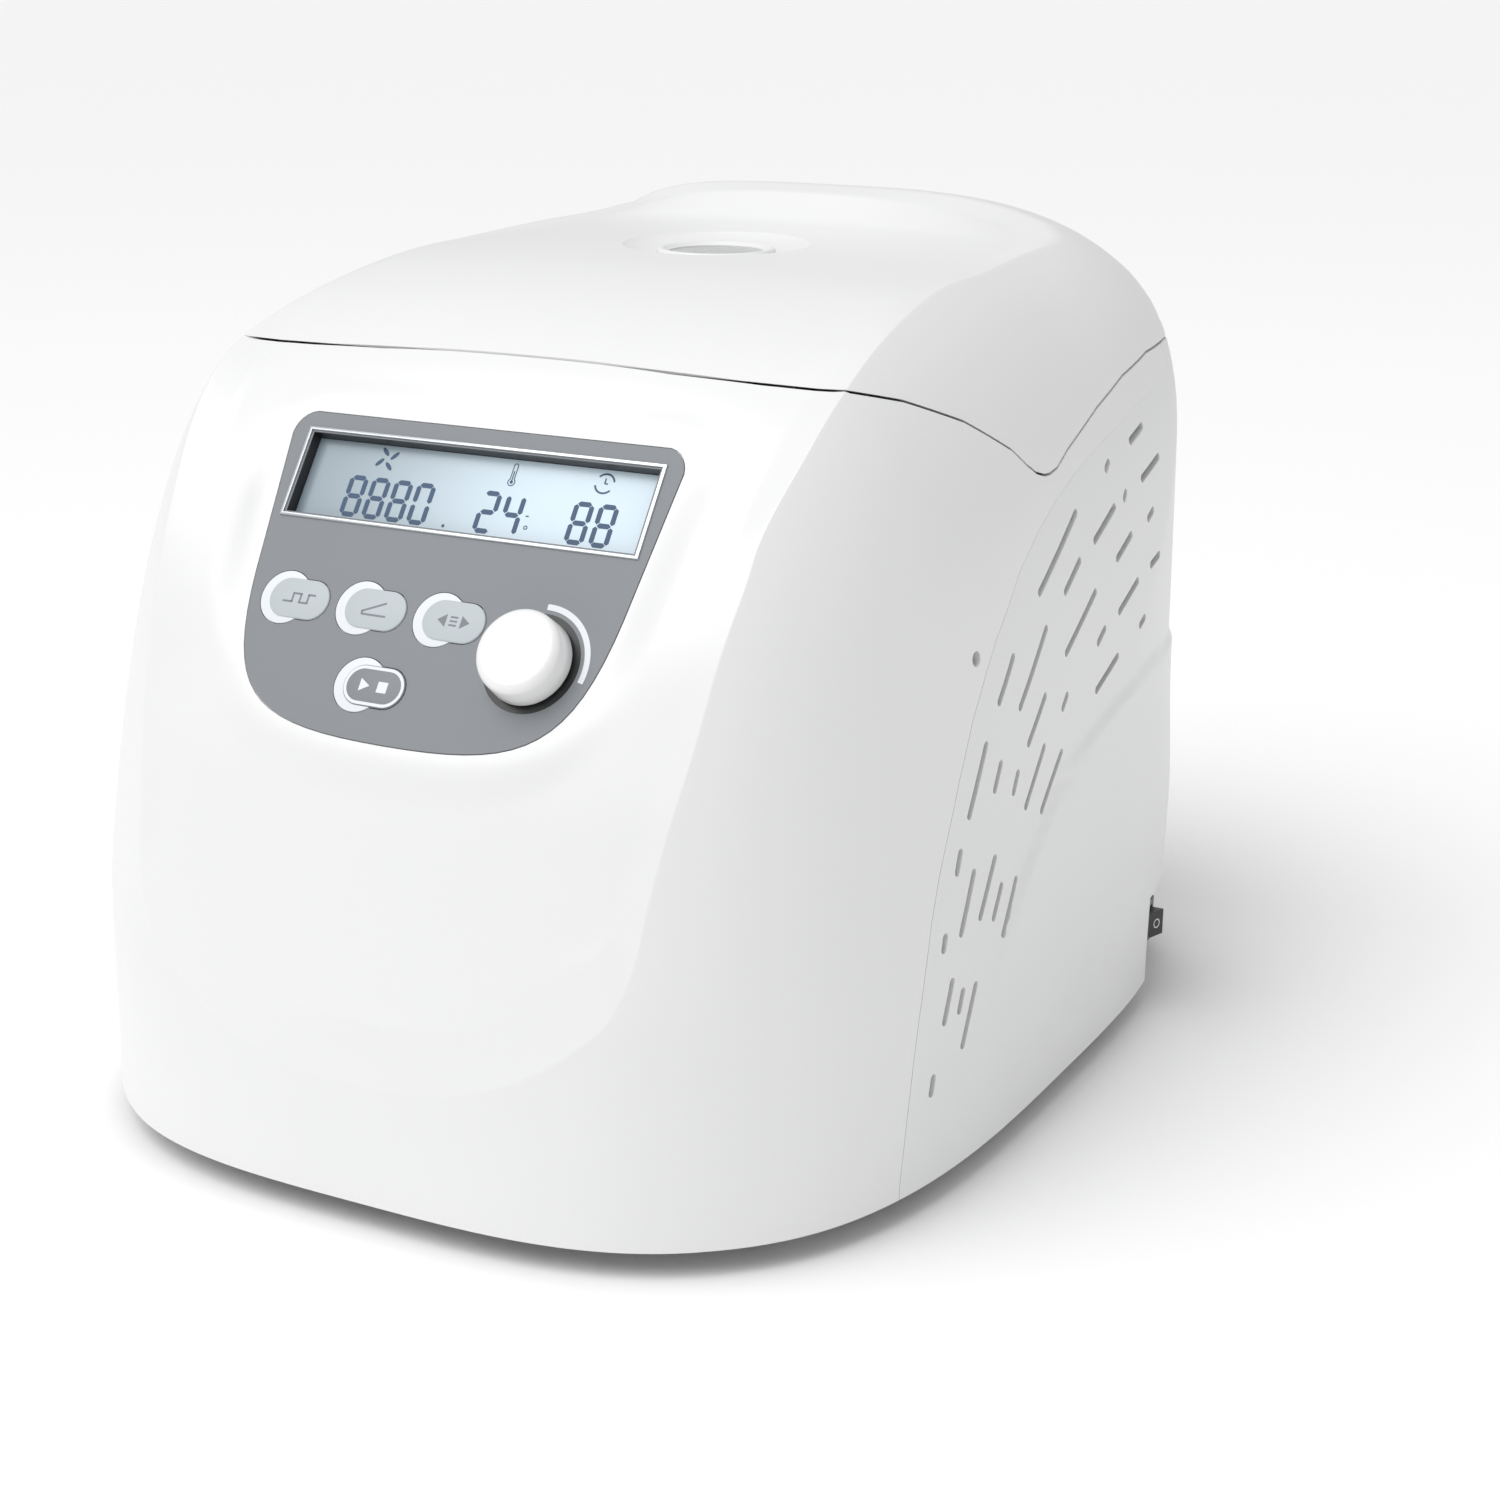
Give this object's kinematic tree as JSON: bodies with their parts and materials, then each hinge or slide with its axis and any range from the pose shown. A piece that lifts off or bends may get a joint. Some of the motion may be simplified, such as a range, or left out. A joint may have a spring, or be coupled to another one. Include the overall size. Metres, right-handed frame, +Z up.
{
  "type": "laboratory centrifuge",
  "caption": "Benchtop microcentrifuge with a hinged lid, angle rotor, and a leaning front panel that carries a display, push buttons and a dial.",
  "frame": {"origin": "on the surface the feet stand on, under the middle of the housing", "axes": "+X to the user's right, +Y to the back, +Z up; the control panel faces -Y"},
  "size_m": [0.2826, 0.3638, 0.266],
  "materials": {
    "white_shell": "satin, fine spark texture",
    "side_shell": "satin, fine spark texture",
    "dial_white": "semi-gloss",
    "panel_film": "matt printed film",
    "key_plastic": "matt",
    "display_frame": "semi-gloss",
    "clear_window": "polished",
    "frosted_window": "frosted",
    "display_glass": "liquid crystal display",
    "foot_rubber": "matt",
    "black_rubber": "matt",
    "black_plastic": "semi-gloss",
    "bowl_steel": "spun",
    "plain_steel": "zinc plated",
    "bright_steel": "ground",
    "cast_aluminium": "machined",
    "rotor_alloy": "anodised",
    "iron_laminations": "laminated",
    "copper_winding": "enamelled copper",
    "circuit_board": "solder mask",
    "brass_parts": "plain"
  },
  "bodies": {
    "base": {"base_plate": "plain_steel", "feet": "foot_rubber", "foot_screws": "bright_steel", "front_housing": "white_shell", "rear_housing": "side_shell", "housing_screws": "bright_steel", "chamber_deck": "white_shell", "chamber_bowl": "bowl_steel", "bowl_gasket": "black_rubber", "motor_plate": "plain_steel", "shock_mounts": "black_rubber", "motor_housing": "cast_aluminium", "motor_stator": "copper_winding", "motor_cap": "cast_aluminium", "motor_bearings": "bright_steel", "motor_boot": "black_rubber", "control_overlay": "panel_film", "lcd_frame": "display_frame", "lcd_window": "clear_window", "lcd_module": "display_glass", "control_board": "circuit_board", "tact_switches": "black_plastic", "encoder_body": "bright_steel", "lock_frame": "plain_steel", "lock_solenoid": "copper_winding", "release_tube": "white_shell", "drive_board": "circuit_board", "drive_capacitors": "black_plastic", "heat_sink": "cast_aluminium", "board_posts": "brass_parts", "power_inlet": "black_plastic", "inlet_pins": "brass_parts", "switch_frame": "black_plastic", "hinge_brackets": "plain_steel", "hinge_pins": "bright_steel", "hinge_springs": "plain_steel"},
    "lid": {"lid_shell": "white_shell", "lid_liner": "white_shell", "window_sleeve": "white_shell", "window_lens": "frosted_window", "window_ring": "white_shell", "lid_hook": "plain_steel", "hinge_arms": "plain_steel", "liner_screws": "bright_steel"},
    "rotor": {"motor_shaft": "bright_steel", "motor_magnets": "iron_laminations", "rotor_hub": "cast_aluminium", "rotor_head": "rotor_alloy", "rotor_nut": "rotor_alloy"},
    "dial": {"encoder_shaft": "bright_steel", "dial_knob": "dial_white"},
    "pulse_key": {"pulse_button": "key_plastic"},
    "door_key": {"door_button": "key_plastic"},
    "select_key": {"select_button": "key_plastic"},
    "start_stop_key": {"start_stop_button": "key_plastic"},
    "mains_rocker": {"power_rocker": "black_plastic"},
    "bolt": {"lock_bolt": "plain_steel"},
    "fuse_tray": {"fuse_drawer": "black_plastic", "fuses": "brass_parts"}
  },
  "joints": [
    {"name": "lid_hinge", "type": "hinge", "parent": "base", "child": "lid", "pos_m": [0, 0.1745, 0.214], "axis": [-1, 0, 0], "range_deg": [0, 78]},
    {"name": "rotor_spin", "type": "hinge", "parent": "base", "child": "rotor", "pos_m": [0, 0.032, 0.15], "axis": [0, 0, 1], "continuous": true},
    {"name": "dial_turn", "type": "hinge", "parent": "base", "child": "dial", "pos_m": [0.0373, -0.14485, 0.16012], "axis": [0, -0.81, 0.5864], "continuous": true},
    {"name": "pulse_press", "type": "slide", "parent": "base", "child": "pulse_key", "axis": [0, 0.81, -0.5864], "range_m": [0, 0.0008], "stiffness_N_per_m": 400, "springref_m": -0.0008},
    {"name": "door_press", "type": "slide", "parent": "base", "child": "door_key", "axis": [0, 0.81, -0.5864], "range_m": [0, 0.0008], "stiffness_N_per_m": 400, "springref_m": -0.0008},
    {"name": "select_press", "type": "slide", "parent": "base", "child": "select_key", "axis": [0, 0.81, -0.5864], "range_m": [0, 0.0008], "stiffness_N_per_m": 400, "springref_m": -0.0008},
    {"name": "start_stop_press", "type": "slide", "parent": "base", "child": "start_stop_key", "axis": [0, 0.81, -0.5864], "range_m": [0, 0.0008], "stiffness_N_per_m": 400, "springref_m": -0.0008},
    {"name": "rocker_tip", "type": "hinge", "parent": "base", "child": "mains_rocker", "pos_m": [0.12261, 0.11283, 0.016], "axis": [0, 0, 1], "range_deg": [0, 18]},
    {"name": "bolt_throw", "type": "slide", "parent": "base", "child": "bolt", "axis": [1, 0, 0], "range_m": [0, 0.007]},
    {"name": "fuse_tray_slide", "type": "slide", "parent": "base", "child": "fuse_tray", "axis": [0, 1, 0], "range_m": [0, 0.012]}
  ]
}
